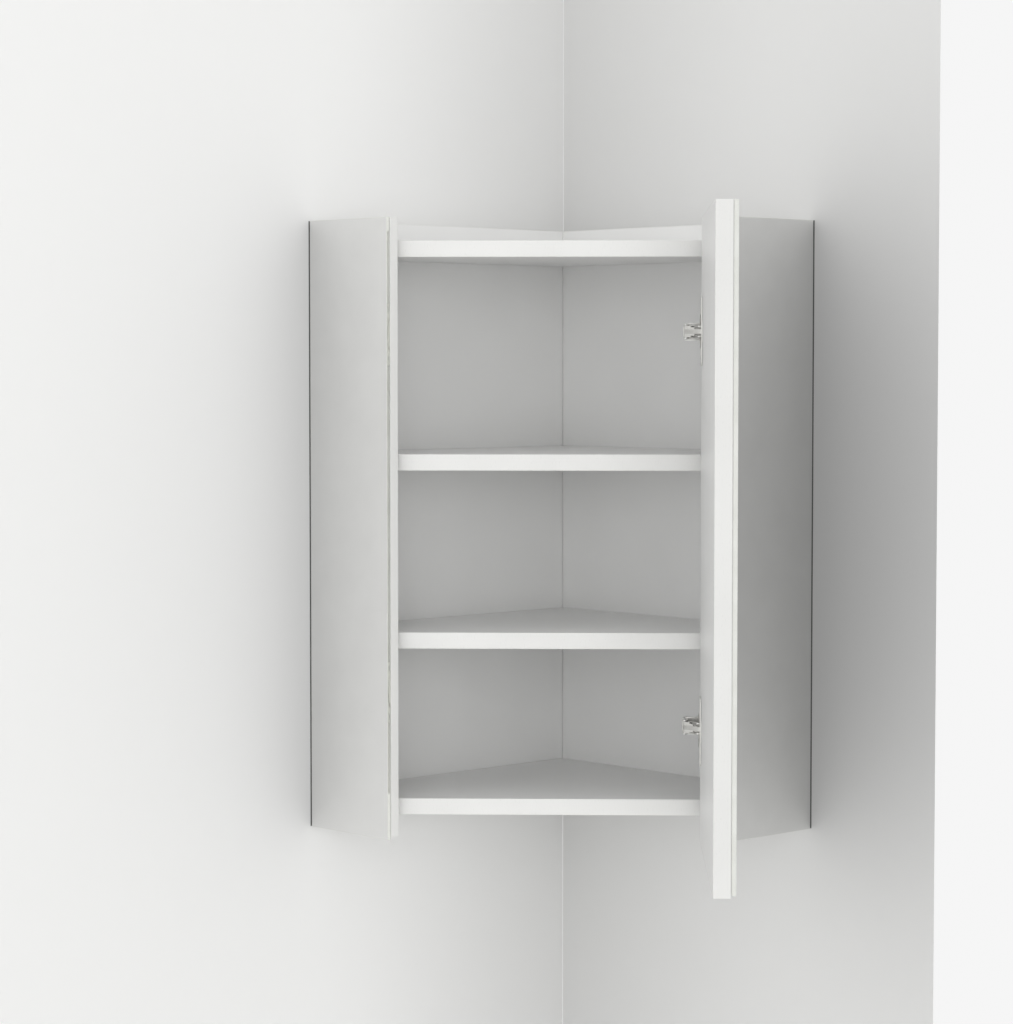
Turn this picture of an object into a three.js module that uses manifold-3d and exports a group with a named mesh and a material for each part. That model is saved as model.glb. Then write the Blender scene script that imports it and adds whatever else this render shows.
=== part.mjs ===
// Corner wall cabinet: a five-sided carcass that hangs in the corner of a room, with two middle
// shelves, mirror glass on both sides and on the door, and one door on two concealed cup hinges.
// Millimetres. +Z is up, the room's corner is the Z axis, and the front faces -Y.
// The door is modelled open, square to the front.
import * as THREE from 'three';
import { mergeVertices } from 'three/addons/utils/BufferGeometryUtils.js';
import Module from 'manifold-3d';

const wasm = await Module();
wasm.setup();

// ---- Carcass sizes ----
const height = 600;             // the sides, back panels and door
const wallLeg = 351.3;          // room corner to the outer face of a side, along the wall
const sideDepth = 117;          // a side's depth, square to its wall
const sideThickness = 10;       // side boards
const backThickness = 12;       // back panels
const panelThickness = 16;      // top, bottom and shelves
const mirrorThickness = 4;      // mirror glass
const glueGap = 0.3;            // adhesive between a mirror and its board
const seatGap = 0.3;            // between boards that meet
const endInset = 21.6;          // top and bottom panels in from the ends of the sides
const lowerShelfHeight = 183.5; // underside of the lower shelf
const upperShelfHeight = 356.4; // underside of the upper shelf
const sideBoardLift = 2.4;      // a side board starts this far above its mirror's lower edge
const edgeRound = 0.8;          // eased board edges
const glassRound = 0.4;         // ground glass edges
const mirrorWallGap = 1.5;      // a side mirror stops this far short of its wall

// ---- Door sizes ----
const doorThickness = 16;       // door board
const doorMirrorLift = 2.3;     // the door's mirror starts this far above the board's lower edge
const closedEdgeGap = 2.6;      // door edge to a side's inner front corner, closed
const closedFaceGap = 2.0;      // door's inner face to the shelf fronts, closed
const openFaceInset = 20.3;     // door's inner face inwards of the side's inner front corner, open
const openEndGap = 1.4;         // door's end in front of the side's inner front corner, open

// ---- Dowels and hangers ----
const dowelRadius = 3;
const dowelLength = 30;
const dowelInSide = 7;          // length of a dowel inside the side board
const dowelClearance = 0.15;
const dowelInset = 20;          // from a panel's front and rear corners to its dowels
const hangerLength = 60;
const hangerHeight = 22;
const hangerThickness = 2;
const hangerFromCorner = 170;   // hanger's centre from the room corner
const hangerDrop = 48;          // hanger's centre below the cabinet's top
const hangerScrewSpacing = 44;
const keyholeRadius = 5;
const keyslotWidth = 5;
const keyslotRise = 7;
const hangerSink = 1.3;         // hanger's face below the panel's wall face
const hangerPocketDepth = 8;    // room for a wall screw's head behind the plate
const hangerPocketHeight = 20;
const hangerPocketWidth = 15;
const hangerScrewRadius = 1.6;
const hangerScrewLength = 8;

// ---- Hinge sizes ----
const hingeInset = 109.5;       // hinge centre from the door's lower and upper ends
const cupRadius = 17.4;
const cupWall = 0.7;
const cupDepth = 12;
const cupInset = 21;            // cup's axis from the door's edge
const boreClearance = 0.4;
const flangeThickness = 1.4;
const flangeLength = 66;
const flangeWidth = 19;
const flangeCentreInset = 27;   // middle of the flange's wings from the door's edge
const flangeRimRadius = 19;
const cupScrewSpacing = 52;
const screwRadius = 1.8;
const screwHeadRadius = 3.6;
const screwHeadHeight = 1.5;
const cupScrewLength = 13;
const countersink = 1.2;        // depth of the cone under a cup screw's flush head
const linkPinInset = 8;         // outer link's pin in the cup, from the door's edge
const linkPinDepth = 3;         // the same pin, from the door's inner face
const linkReach = 22;           // outer link's height over the chord of its swing
const innerPinInset = 12;       // inner link's pin in the cup
const innerPinDepth = 1;
const innerReach = 18;
const cupPinRadius = 1.0;
const armPinRadius = 1.1;
const pinClearance = 0.12;
const armHalfHeight = 8.6;
const armSheet = 1.3;           // steel thickness of the arm
const armDepth = 4.6;           // depth of the arm's channel across the front
const armWebSetback = 9.6;      // web's front face behind the outer arm pin
const armRise = 13.2;           // back of the arm from the side's inner face
const armTail = 52;             // arm's rear end from the wall
const armTailRound = 3;
const armCutRun = 5;            // a cut that opens a side of the arm runs this far past it
const noseHalfHeight = 7.0;     // the two lugs that carry the arm pins
const noseRound = 3;            // corners of the arm's nose, seen from the front
const lugThickness = 1.2;
const lugRadius = 2.6;
const innerLugRadius = 2.2;
const linkHalfHeight = 5.5;
const stubReach = 10.8;         // the outer link's stub pins, in the cup's wall
const linkSlotHalf = 4.2;       // half the room between the outer link's cheeks
const innerHalfHeight = 2.2;
const innerWebHalf = 5.4;       // the inner link is widest by the arm, and narrows in two steps
const innerWebReach = 7.5;
const innerNeckHalf = 3.9;
const innerNeckReach = 12.5;
const postInner = 2.6;          // the cup's two posts carry the inner link's pin
const postOuter = 3.6;
const postRadius = 2.2;
const postPinHalf = 3.9;
const linkArmEye = 2.2;
const linkCupEye = 2.1;
const linkHalfWidth = 1.8;
const linkElbowRise = 2.4;      // outer link's elbow in front of the door's inner face
const innerArmEye = 2.2;
const innerCupEye = 3.0;
const plateFromWall = 80;       // mounting plate's centre from the wall
const plateLength = 38;
const plateHeight = 48;
const plateThickness = 3;
const plateRound = 6;
const bossHalfHeight = 5.6;
const bossLength = 30;
const bossClearance = 0.3;
const plateScrewSpacing = 32;
const plateScrewLength = 9.5;
const armScrewFromWall = 72;    // clamps the arm to its plate
const armScrewLength = 7.5;
const armScrewRadius = 1.75;
const armScrewHead = 1.2;

// ---- Worked out ----
const sideOuter = wallLeg - mirrorThickness - glueGap;
const sideInner = sideOuter - sideThickness;
const doorStack = doorThickness + glueGap + mirrorThickness;
const half = Math.SQRT1_2;
const cornerX = (sideInner - sideDepth) * half;   // a side's inner front corner
const cornerY = -(sideInner + sideDepth) * half;
const frontY = -(wallLeg + sideDepth) * half;     // the sides' outer front corners
const shelfFrontY = frontY + doorStack + closedFaceGap;
const closedEdgeX = cornerX - closedEdgeGap;
const closedFaceY = shelfFrontY - closedFaceGap;
const openFaceX = cornerX - openFaceInset;
const openEndY = cornerY - openEndGap;
const doorWidth = 2 * closedEdgeX;
const hingeHeights = { lower: hingeInset, upper: height - hingeInset };

const whiteBoard = new THREE.MeshStandardMaterial({ color: 0xe9e9e7, roughness: 0.45, metalness: 0 });
const mirrorGlass = new THREE.MeshStandardMaterial({ color: 0xd8dad9, roughness: 0.03, metalness: 1 });
const nickelSteel = new THREE.MeshStandardMaterial({ color: 0xc9cac8, roughness: 0.2, metalness: 1 });
const zincSteel = new THREE.MeshStandardMaterial({ color: 0xaeb0ae, roughness: 0.35, metalness: 1 });
const beech = new THREE.MeshStandardMaterial({ color: 0xd2b48c, roughness: 0.7, metalness: 0 });

// ---- Solids ----
function toSolid(geometry) {
  const bare = geometry.clone();
  bare.deleteAttribute('normal');
  bare.deleteAttribute('uv');
  const merged = mergeVertices(bare, 1e-4);
  return new wasm.Manifold(new wasm.Mesh({
    numProp: 3,
    vertProperties: new Float32Array(merged.attributes.position.array),
    triVerts: new Uint32Array(merged.index.array),
  }));
}

function toMesh(name, solid, material) {
  const { vertProperties, triVerts } = solid.getMesh();
  const geometry = new THREE.BufferGeometry();
  geometry.setAttribute('position', new THREE.BufferAttribute(vertProperties, 3));
  geometry.setIndex(new THREE.BufferAttribute(triVerts, 1));
  geometry.computeVertexNormals();
  const mesh = new THREE.Mesh(geometry, material);
  mesh.name = name;
  return mesh;
}

// A flat shape in the XY plane, raised from low to high along Z.
function slab(shape, low, high) {
  const geometry = new THREE.ExtrudeGeometry(shape, {
    depth: high - low, bevelEnabled: false, curveSegments: 10,
  });
  return toSolid(geometry.translate(0, 0, low));
}

function outline(points) {
  return new THREE.Shape(points.map(([x, y]) => new THREE.Vector2(x, y)));
}

// A board of any outline, lying in the XY plane with eased edges.
function easedSlab(shape, thickness, round) {
  const geometry = new THREE.ExtrudeGeometry(shape, {
    depth: thickness - 2 * round,
    bevelThickness: round, bevelSize: round, bevelOffset: -round, bevelSegments: 2,
  });
  return geometry.translate(0, 0, round);
}

// An upright board. It runs from the origin along the direction of its width and up, and its
// thickness goes along the third axis of that right-handed set.
function uprightBoard(width, tall, thickness, round, origin, along) {
  const geometry = easedSlab(outline([[0, 0], [width, 0], [width, tall], [0, tall]]), thickness, round);
  const up = new THREE.Vector3(0, 0, 1);
  const through = new THREE.Vector3().crossVectors(along, up);
  const place = new THREE.Matrix4().makeBasis(along, up, through).setPosition(origin);
  return toSolid(geometry.applyMatrix4(place));
}

// A rod from one point along a direction.
function rod(radius, length, start, direction, sides = 16) {
  const geometry = new THREE.CylinderGeometry(radius, radius, length, sides);
  return toSolid(alongDirection(geometry.translate(0, length / 2, 0), start, direction));
}

function alongDirection(geometry, start, direction) {
  const turn = new THREE.Quaternion().setFromUnitVectors(
    new THREE.Vector3(0, 1, 0), direction.clone().normalize());
  return geometry.applyQuaternion(turn).translate(start.x, start.y, start.z);
}

// A revolved profile of [radius, height] points that starts and ends on the axis.
function turned(profile, start, direction, sides = 32) {
  const points = profile.map(([radius, along]) => new THREE.Vector2(radius, along));
  return toSolid(alongDirection(new THREE.LatheGeometry(points, sides), start, direction));
}

// The outline round two circles and the straight tangents between them.
function strap(a, b, radiusA, radiusB) {
  const heading = Math.atan2(b.y - a.y, b.x - a.x);
  const lean = Math.acos((radiusA - radiusB) / a.distanceTo(b));
  const shape = new THREE.Shape();
  shape.absarc(a.x, a.y, radiusA, heading + lean, heading - lean + 2 * Math.PI, false);
  shape.absarc(b.x, b.y, radiusB, heading - lean, heading + lean, false);
  return shape;
}

function roundedRectangle(width, tall, radius) {
  const shape = new THREE.Shape();
  const x = width / 2 - radius;
  const y = tall / 2 - radius;
  shape.absarc(x, y, radius, 0, Math.PI / 2, false);
  shape.absarc(-x, y, radius, Math.PI / 2, Math.PI, false);
  shape.absarc(-x, -y, radius, Math.PI, 1.5 * Math.PI, false);
  shape.absarc(x, -y, radius, 1.5 * Math.PI, 2 * Math.PI, false);
  return shape;
}

const up = new THREE.Vector3(0, 0, 1);
const down = new THREE.Vector3(0, 0, -1);
const point = (x, y, z) => new THREE.Vector3(x, y, z);
const flat = (x, y) => new THREE.Vector2(x, y);

// ---- Carcass, in a frame whose walls are the X and -Y axes ----
// (q, -p) is q from the left wall and p from the right wall.
const cabinet = new THREE.Group();
const carcass = new THREE.Group();
carcass.rotation.z = -Math.PI / 4;
cabinet.add(carcass);

const alongRightWall = point(1, 0, 0);
const alongLeftWall = point(0, -1, 0);
const walls = {
  // from: which way a side faces inwards; along: the way its depth runs
  left: { inward: point(0, 1, 0), depthWay: alongRightWall },
  right: { inward: point(-1, 0, 0), depthWay: alongLeftWall },
};

// Where the dowels of a panel enter the sides, measured from the walls.
const panelSideEnd = -shelfFrontY / half - sideInner;
const dowelPlaces = { front: panelSideEnd - dowelInset, rear: backThickness + dowelInset };
const panelUndersides = {
  bottom: endInset,
  lower_shelf: lowerShelfHeight,
  upper_shelf: upperShelfHeight,
  top: height - endInset - panelThickness,
};

// A point on a side's inner face, at a distance from the wall that carries the side.
function onSide(side, fromWall, z) {
  return side === 'right' ? point(sideInner, -fromWall, z) : point(fromWall, -sideInner, z);
}

function eachDowel(visit) {
  for (const [panel, underside] of Object.entries(panelUndersides)) {
    for (const side of Object.keys(walls)) {
      for (const [end, fromWall] of Object.entries(dowelPlaces)) {
        const entry = onSide(side, fromWall, underside + panelThickness / 2);
        const start = entry.addScaledVector(walls[side].inward, -dowelInSide);
        visit({ panel, side, end, start, direction: walls[side].inward });
      }
    }
  }
}

function drillDowels(solid, wanted) {
  let drilled = solid;
  eachDowel((dowel) => {
    if (!wanted(dowel)) return;
    const start = dowel.start.clone().addScaledVector(dowel.direction, -dowelClearance);
    const hole = rod(dowelRadius + dowelClearance, dowelLength + 2 * dowelClearance, start,
      dowel.direction, 12);
    drilled = drilled.subtract(hole);
  });
  return drilled;
}

function addPanels() {
  const inner = backThickness + seatGap;
  const outer = sideInner - seatGap;
  const frontSum = -shelfFrontY / half;
  const shape = outline([
    [inner, -inner], [inner, -outer], [frontSum - outer, -outer],
    [outer, outer - frontSum], [outer, -inner],
  ]);
  for (const [name, underside] of Object.entries(panelUndersides)) {
    const geometry = easedSlab(shape, panelThickness, edgeRound).translate(0, 0, underside);
    const solid = drillDowels(toSolid(geometry), (dowel) => dowel.panel === name);
    const suffix = name.endsWith('shelf') ? '' : '_panel';
    carcass.add(toMesh(name + suffix, solid, whiteBoard));
  }
}

function addSides() {
  const boards = {
    right: uprightBoard(sideDepth, height - sideBoardLift, sideThickness, edgeRound,
      point(sideOuter, 0, sideBoardLift), alongLeftWall),
    left: uprightBoard(sideDepth, height - sideBoardLift, sideThickness, edgeRound,
      point(0, -sideInner, sideBoardLift), alongRightWall),
  };
  const glasses = {
    right: uprightBoard(sideDepth - mirrorWallGap, height, mirrorThickness, glassRound,
      point(wallLeg, -mirrorWallGap, 0), alongLeftWall),
    left: uprightBoard(sideDepth - mirrorWallGap, height, mirrorThickness, glassRound,
      point(mirrorWallGap, -sideOuter - glueGap, 0), alongRightWall),
  };
  for (const side of Object.keys(walls)) {
    let board = drillDowels(boards[side], (dowel) => dowel.side === side);
    if (side === 'right') board = drillPlateScrews(board);
    carcass.add(toMesh(`side_board_${side}`, board, whiteBoard));
    carcass.add(toMesh(`side_mirror_${side}`, glasses[side], mirrorGlass));
  }
}

function addDowels() {
  eachDowel(({ panel, side, end, start, direction }) => {
    const tip = 1;
    const solid = turned([
      [0, 0], [dowelRadius - tip, 0], [dowelRadius, tip],
      [dowelRadius, dowelLength - tip], [dowelRadius - tip, dowelLength], [0, dowelLength],
    ], start, direction, 12);
    carcass.add(toMesh(`dowel_${panel}_${side}_${end}`, solid, beech));
  });
}

// ---- Back panels and their keyhole hangers ----
// A hanger lies in a recess in the wall face of its panel. Here the face is the XY plane, with Y up
// the wall, and +Z goes into the panel.
function keyhole(radiusGrowth) {
  const round = new THREE.Shape();
  round.absarc(0, 0, keyholeRadius + radiusGrowth, 0, 2 * Math.PI, false);
  const slot = strap(flat(0, 0), flat(0, keyslotRise), keyslotWidth / 2, keyslotWidth / 2 - 0.01);
  return { round, slot };
}

function hangerPlate() {
  const plate = slab(roundedRectangle(hangerLength, hangerHeight, 4), 0, hangerThickness);
  const { round, slot } = keyhole(0);
  let cut = plate.subtract(slab(round, -1, hangerThickness + 1));
  cut = cut.subtract(slab(slot, -1, hangerThickness + 1));
  for (const way of [-1, 1]) {
    cut = cut.subtract(rod(hangerScrewRadius + pinClearance, hangerThickness + 2,
      point(way * hangerScrewSpacing / 2, 0, -1), up));
  }
  return cut;
}

function hangerRecess() {
  const room = seatGap;
  let recess = slab(roundedRectangle(hangerLength + 2 * room, hangerHeight + 2 * room, 4 + room),
    -1, hangerSink + hangerThickness + room);
  const pocket = slab(roundedRectangle(hangerPocketWidth, hangerPocketHeight, 3), -1, hangerPocketDepth);
  recess = recess.add(pocket);
  for (const way of [-1, 1]) {
    recess = recess.add(rod(hangerScrewRadius + pinClearance, hangerSink + hangerScrewLength + 0.3,
      point(way * hangerScrewSpacing / 2, 0, 0), up));
  }
  return recess;
}

function hangerScrew(way) {
  const head = 0.9;
  return turned([
    [0, -head], [screwHeadRadius - 0.6, -head], [screwHeadRadius - 0.2, -0.2], [screwHeadRadius - 0.2, 0],
    [hangerScrewRadius, 0], [hangerScrewRadius, hangerScrewLength], [0, hangerScrewLength],
  ], point(way * hangerScrewSpacing / 2, 0, 0), up, 16);
}

function addBacks() {
  const reach = sideInner - seatGap;
  const places = {
    // the left panel stops at the right one, which runs into the corner
    left: {
      start: backThickness + seatGap,
      origin: point(0, -reach, 0),
      along: point(0, 1, 0),
      intoPanel: new THREE.Matrix4().makeBasis(point(0, 1, 0), up, point(1, 0, 0))
        .setPosition(0, -hangerFromCorner, height - hangerDrop),
    },
    right: {
      start: 0,
      origin: point(0, 0, 0),
      along: point(1, 0, 0),
      intoPanel: new THREE.Matrix4().makeBasis(point(1, 0, 0), up, point(0, -1, 0))
        .setPosition(hangerFromCorner, 0, height - hangerDrop),
    },
  };
  for (const [side, place] of Object.entries(places)) {
    const put = (solid, sink) => solid.translate([0, 0, sink]).transform(place.intoPanel.elements);
    const board = uprightBoard(reach - place.start, height, backThickness, edgeRound,
      place.origin, place.along);
    carcass.add(toMesh(`back_panel_${side}`, board.subtract(put(hangerRecess(), 0)), whiteBoard));
    carcass.add(toMesh(`hanger_plate_${side}`, put(hangerPlate(), hangerSink), zincSteel));
    for (const [name, way] of [['inner', -1], ['outer', 1]]) {
      const screw = put(hangerScrew(way), hangerSink - seatGap);
      carcass.add(toMesh(`hanger_screw_${side}_${name}`, screw, zincSteel));
    }
  }
}

// ---- Hinge linkage in plan ----
// A pin in the cup stands at one place with the door closed and at another with it open. The arm
// pin lies on the line midway between them, so that one straight link serves both.
function linkage(inset, depth, reach) {
  const closed = flat(closedEdgeX - inset, closedFaceY - depth);
  const open = flat(openFaceX + depth, openEndY - inset);
  const chord = open.clone().sub(closed);
  const away = flat(chord.y, -chord.x).normalize();
  const armPin = closed.clone().add(open).multiplyScalar(0.5).addScaledVector(away, reach);
  const heading = (pin) => Math.atan2(pin.y - armPin.y, pin.x - armPin.x);
  return { armPin, cupPin: open, swing: heading(closed) - heading(open) };
}

const outer = linkage(linkPinInset, linkPinDepth, linkReach);
const inner = linkage(innerPinInset, innerPinDepth, innerReach);

// The inner link's cup pin, seen from the inner link, while the door closes by a share of its turn.
function innerPinFromLink(share) {
  const around = (pin, centre, angle) => pin.clone().rotateAround(centre, angle);
  const origin = flat(0, 0);
  const doorTurn = -share * Math.PI / 2;
  const carried = around(outer.cupPin, outer.armPin, share * outer.swing);
  const offset = around(inner.cupPin.clone().sub(outer.cupPin), origin, doorTurn);
  return around(carried.add(offset), inner.armPin, -share * inner.swing);
}

// Two cheeks joined by a barrel round the arm's pin, each with a stub pin for the cup's wall.
function outerLink() {
  const elbow = flat(openFaceX - linkElbowRise, outer.cupPin.y);
  let link = rod(linkArmEye, 2 * linkSlotHalf + 0.2,
    point(outer.armPin.x, outer.armPin.y, -linkSlotHalf - 0.1), up, 24);
  for (const way of [-1, 1]) {
    const low = way < 0 ? -linkHalfHeight : linkSlotHalf;
    const high = low + linkHalfHeight - linkSlotHalf;
    const stubLow = way < 0 ? -stubReach : linkHalfHeight - 0.5;
    link = link.add(slab(strap(outer.armPin, elbow, linkArmEye, linkHalfWidth), low, high))
      .add(slab(strap(outer.cupPin, elbow, linkCupEye, linkHalfWidth), low, high))
      .add(rod(cupPinRadius, stubReach - linkHalfHeight + 0.5,
        point(outer.cupPin.x, outer.cupPin.y, stubLow), up));
  }
  return drillPin(link, outer.armPin, armPinRadius);
}

function drillPin(solid, place, radius) {
  const tall = 4 * armHalfHeight;
  return solid.subtract(rod(radius + pinClearance, tall, point(place.x, place.y, -tall / 2), up));
}

function innerLink() {
  let link = slab(strap(inner.armPin, inner.cupPin, innerArmEye, innerCupEye), -innerHalfHeight, innerHalfHeight);
  // the web lies in front of the pin, on the side that faces the room
  const heading = inner.cupPin.clone().sub(inner.armPin).normalize();
  const front = flat(heading.y, -heading.x);
  const corner = (along, out) => inner.armPin.clone().addScaledVector(heading, along).addScaledVector(front, out);
  const webBack = armPinRadius + pinClearance;
  for (const [reach, halfHeight] of [[innerWebReach, innerWebHalf], [innerNeckReach, innerNeckHalf]]) {
    const web = new THREE.Shape([
      corner(0, webBack), corner(0, innerArmEye), corner(reach, innerArmEye), corner(reach, webBack)]);
    link = link.add(slab(web, -halfHeight, halfHeight));
  }
  link = drillPin(link, inner.armPin, armPinRadius);
  const steps = 6;
  for (let step = 0; step < steps; step += 1) {
    const here = innerPinFromLink(step / steps);
    const next = innerPinFromLink((step + 1) / steps);
    const radius = cupPinRadius + 2 * pinClearance;
    const stretch = here.distanceTo(next) > 0.05 ? slab(strap(here, next, radius, radius - 0.01), -3, 3)
      : rod(radius, 6, point(here.x, here.y, -3), up);
    link = link.subtract(stretch);
  }
  return link;
}

// ---- Hinge arm, pressed from sheet steel ----
function arm() {
  const webFront = outer.armPin.y + armWebSetback;
  const webBack = webFront + armSheet;
  const noseLeft = outer.armPin.x - lugRadius;
  const backLine = (sideInner - armRise) / half;       // x - y along the back of the arm's tail
  const faceLine = (sideInner - plateThickness - 2 * seatGap) / half;
  const tailSum = -armTail / half;                     // x + y across the tail's end
  const crossing = (line, y) => flat(line + y, y);
  const atTail = (line) => flat((line + tailSum) / 2, (tailSum - line) / 2);
  const frontEdge = webFront - armDepth;
  const sheetLine = armSheet / half;
  const bend = armTailRound;

  // plan of the whole channel, and of the room inside it
  const whole = new THREE.Shape();
  whole.moveTo(noseLeft + bend, webBack);
  whole.lineTo(crossing(backLine, webBack).x - bend, webBack);
  whole.quadraticCurveTo(crossing(backLine, webBack).x, webBack,
    crossing(backLine, webBack + bend).x, webBack + bend);
  whole.lineTo(atTail(backLine).x, atTail(backLine).y);
  whole.lineTo(atTail(faceLine).x, atTail(faceLine).y);
  whole.lineTo(crossing(faceLine, frontEdge).x, frontEdge);
  whole.lineTo(noseLeft, frontEdge);
  whole.lineTo(noseLeft, webBack - bend);
  whole.quadraticCurveTo(noseLeft, webBack, noseLeft + bend, webBack);

  const room = outline([
    [noseLeft + armSheet, webFront],
    [crossing(backLine + sheetLine, webFront).x, webFront],
    [atTail(backLine + sheetLine).x + armCutRun, atTail(backLine + sheetLine).y + armCutRun],
    [atTail(faceLine).x + 2 * armCutRun, atTail(faceLine).y],
    [crossing(faceLine, frontEdge).x + 2 * armCutRun, frontEdge - armCutRun],
    [noseLeft + armSheet, frontEdge - armCutRun],
  ]);
  const innerHalf = armHalfHeight - armSheet;
  let solid = slab(whole, -armHalfHeight, armHalfHeight).subtract(slab(room, -innerHalf, innerHalf));

  const lugs = [strap(outer.armPin, inner.armPin, lugRadius, innerLugRadius),
    strap(outer.armPin, flat(outer.armPin.x + 0.5, webFront), lugRadius, lugRadius - 0.01)];
  const foot = outline([
    [noseLeft, frontEdge + 1.5], [noseLeft + 2 * lugRadius, frontEdge + 1.5],
    [noseLeft + 2 * lugRadius, webFront + 0.5], [noseLeft, webFront + 0.5],
  ]);
  for (const low of [-noseHalfHeight, noseHalfHeight - lugThickness]) {
    for (const lug of lugs) solid = solid.add(slab(lug, low, low + lugThickness));
  }
  for (const way of [-1, 1]) {
    const low = way < 0 ? -innerHalf - 0.1 : noseHalfHeight - 0.1;
    solid = solid.add(slab(foot, low, low + innerHalf - noseHalfHeight + 0.2));
  }
  const away = point(0, 1, 0);
  const run = webBack - inner.armPin.y + 2 * innerLugRadius;
  for (const way of [-1, 1]) {
    const start = point(noseLeft, inner.armPin.y - 2 * innerLugRadius, way * armHalfHeight);
    const block = toSolid(new THREE.BoxGeometry(2 * noseRound, run, 2 * noseRound)
      .translate(start.x, start.y + run / 2, start.z));
    const centre = start.clone().add(point(noseRound, 0, -way * noseRound));
    solid = solid.subtract(block.subtract(rod(noseRound, run, centre, away, 32)));
  }
  const screw = armScrewStart(0).applyAxisAngle(up, carcass.rotation.z);
  const through = point(1, 0, 0).applyAxisAngle(up, carcass.rotation.z);
  solid = solid.subtract(rod(armScrewRadius + 2 * pinClearance, 2 * armSheet, screw, through));
  return drillPin(drillPin(solid, outer.armPin, armPinRadius), inner.armPin, armPinRadius);
}

// Under the head of the screw that clamps the arm, in the carcass frame.
function armScrewStart(z) {
  return point(sideInner - armRise - 0.1, -armScrewFromWall, z);
}

function armScrew(z) {
  return turned([
    [0, -armScrewHead], [screwHeadRadius - 1, -armScrewHead], [screwHeadRadius, -0.5],
    [screwHeadRadius, 0], [armScrewRadius, 0], [armScrewRadius, armScrewLength], [0, armScrewLength],
  ], armScrewStart(z), point(1, 0, 0), 16);
}

// ---- Hinge cup, set in the door's inner face ----
// +Y of each turned profile goes into the door, which is +X with the door open.
const intoDoor = point(1, 0, 0);

function cup() {
  const axis = point(openFaceX, openEndY - cupInset, 0);
  const innerRadius = cupRadius - cupWall;
  const flangeBack = -glueGap;
  const flangeFront = flangeBack - flangeThickness;
  const wings = roundedRectangle(flangeWidth, flangeLength, 6);
  const faceUp = new THREE.Matrix4().makeBasis(point(0, -1, 0), up, point(-1, 0, 0));
  const wingPlace = faceUp.clone().setPosition(openFaceX + flangeBack, openEndY - flangeCentreInset, 0);
  const wingGeometry = new THREE.ExtrudeGeometry(wings, {
    depth: flangeThickness - 0.3, bevelThickness: 0.3, bevelSize: 0.3, bevelOffset: -0.3, bevelSegments: 1,
    curveSegments: 8,
  });
  // the bevel at the door side is cut away, so that the flange lies flat
  const wing = toSolid(wingGeometry.applyMatrix4(wingPlace));
  const shell = turned([
    [0, flangeFront], [flangeRimRadius - 0.3, flangeFront], [flangeRimRadius, flangeFront + 0.3],
    [flangeRimRadius, flangeBack], [cupRadius, flangeBack], [cupRadius, cupDepth - 2.2],
    [cupRadius - 2.2, cupDepth], [0, cupDepth],
  ], axis, intoDoor, 40);
  const doorSide = openFaceX + flangeBack;
  const edgeCut = slab(outline([
    [doorSide, openEndY], [doorSide + flangeThickness, openEndY],
    [doorSide + flangeThickness, openEndY - cupInset - 2 * cupRadius], [doorSide, openEndY - cupInset - 2 * cupRadius],
  ]), -flangeLength, flangeLength);
  const hollow = turned([
    [0, flangeFront - 2], [innerRadius, flangeFront - 2], [innerRadius, cupDepth - 2.4],
    [innerRadius - 1.9, cupDepth - cupWall], [0, cupDepth - cupWall],
  ], axis, intoDoor, 40);
  let solid = wing.subtract(edgeCut).add(shell).subtract(hollow);
  for (const way of [-1, 1]) {
    solid = solid.subtract(cupScrewHole(cupScrewStart(way)));
  }
  const postFoot = flat(openFaceX + cupDepth - cupWall - postRadius + 0.2, inner.cupPin.y);
  const post = strap(inner.cupPin, postFoot, postRadius, postRadius - 0.01);
  const base = outline([
    [postFoot.x, postFoot.y - postRadius], [postFoot.x + postRadius, postFoot.y - postRadius],
    [postFoot.x + postRadius, postFoot.y + postRadius], [postFoot.x, postFoot.y + postRadius],
  ]);
  for (const low of [-postOuter, postInner]) {
    solid = solid.add(slab(post, low, low + postOuter - postInner));
    solid = solid.add(slab(base, low, low + postOuter - postInner));
  }
  for (const place of [outer.cupPin, inner.cupPin]) solid = drillPin(solid, place, cupPinRadius);
  return solid;
}

function woodScrew(length, start, direction) {
  return turned([
    [0, -screwHeadHeight], [screwHeadRadius - 1, -screwHeadHeight], [screwHeadRadius, -0.6],
    [screwHeadRadius, 0], [screwRadius, 0], [screwRadius, length - 2.5], [0.4, length], [0, length],
  ], start, direction, 16);
}

// A countersunk screw, flush with the flange.
function cupScrew(start) {
  return turned([
    [0, 0], [screwHeadRadius, 0], [screwHeadRadius, 0.1], [screwRadius, countersink],
    [screwRadius, cupScrewLength - 2.5], [0.4, cupScrewLength], [0, cupScrewLength],
  ], start, intoDoor, 20);
}

function cupScrewHole(start) {
  const head = screwHeadRadius + pinClearance;
  const shank = screwRadius + pinClearance;
  const end = flangeThickness + 1;
  return turned([
    [0, -1], [head, -1], [head, 0.1], [shank, countersink], [shank, end], [0, end],
  ], start, intoDoor, 20);
}

function cupScrewStart(way) {
  const flangeFace = openFaceX - glueGap - flangeThickness;
  return point(flangeFace, openEndY - flangeCentreInset, way * cupScrewSpacing / 2);
}

// The short pin between the cup's posts.
function cupPin(place) {
  return rod(cupPinRadius, 2 * postPinHalf, point(place.x, place.y, -postPinHalf), up);
}

function armPin(place) {
  const reach = noseHalfHeight + 0.6;
  return rod(armPinRadius, 2 * reach, point(place.x, place.y, -reach), up);
}

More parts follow.
